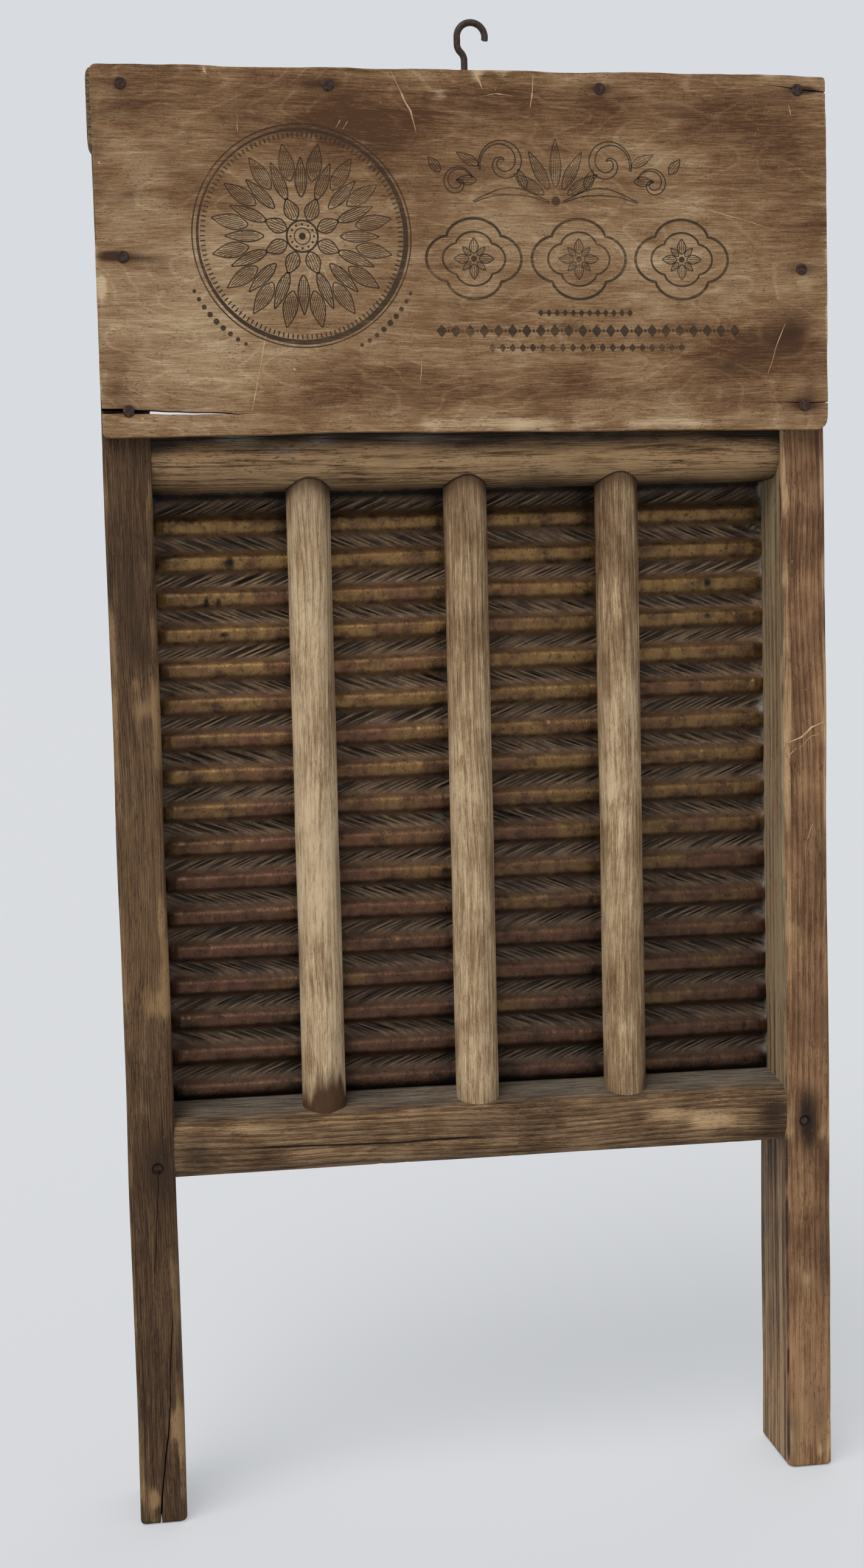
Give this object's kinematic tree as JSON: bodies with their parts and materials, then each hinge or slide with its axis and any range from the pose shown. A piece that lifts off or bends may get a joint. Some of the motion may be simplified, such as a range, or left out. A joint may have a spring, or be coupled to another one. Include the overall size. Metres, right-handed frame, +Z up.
{
  "type": "washboard",
  "caption": "Upright wooden washboard with a corrugated brass rubbing sheet, round backing dowels, a nailed face panel, a soap recess and a wire hanging hook.",
  "frame": {"origin": "on the ground, at the middle of the board's width and of its whole depth", "axes": "+Z up along the legs, X across the board, the printed face looks along -Y and the rubbing face along +Y"},
  "size_m": [0.3216, 0.0454, 0.6541],
  "materials": {
    "leg_wood": "aged bare wood, dark with water stains",
    "rail_wood": "aged bare wood with raised grain",
    "panel_wood": "aged thin board with faded dark print",
    "dowel_wood": "bleached and washed wood",
    "brass": "tarnished, dark in the valleys and worn on the ridges",
    "nail_iron": "rusted",
    "hook_iron": "dark rusted wire"
  },
  "bodies": {
    "root": {"left_leg": "leg_wood", "right_leg": "leg_wood", "header_rail": "rail_wood", "upper_rail": "rail_wood", "lower_rail": "rail_wood", "face_panel": "panel_wood", "brass_sheet": "brass", "dowel_left": "dowel_wood", "dowel_middle": "dowel_wood", "dowel_right": "dowel_wood", "hanging_hook": "hook_iron", "corner_nails": "nail_iron", "header_nails": "nail_iron", "side_nails": "nail_iron", "rail_nails": "nail_iron"}
  },
  "joints": []
}
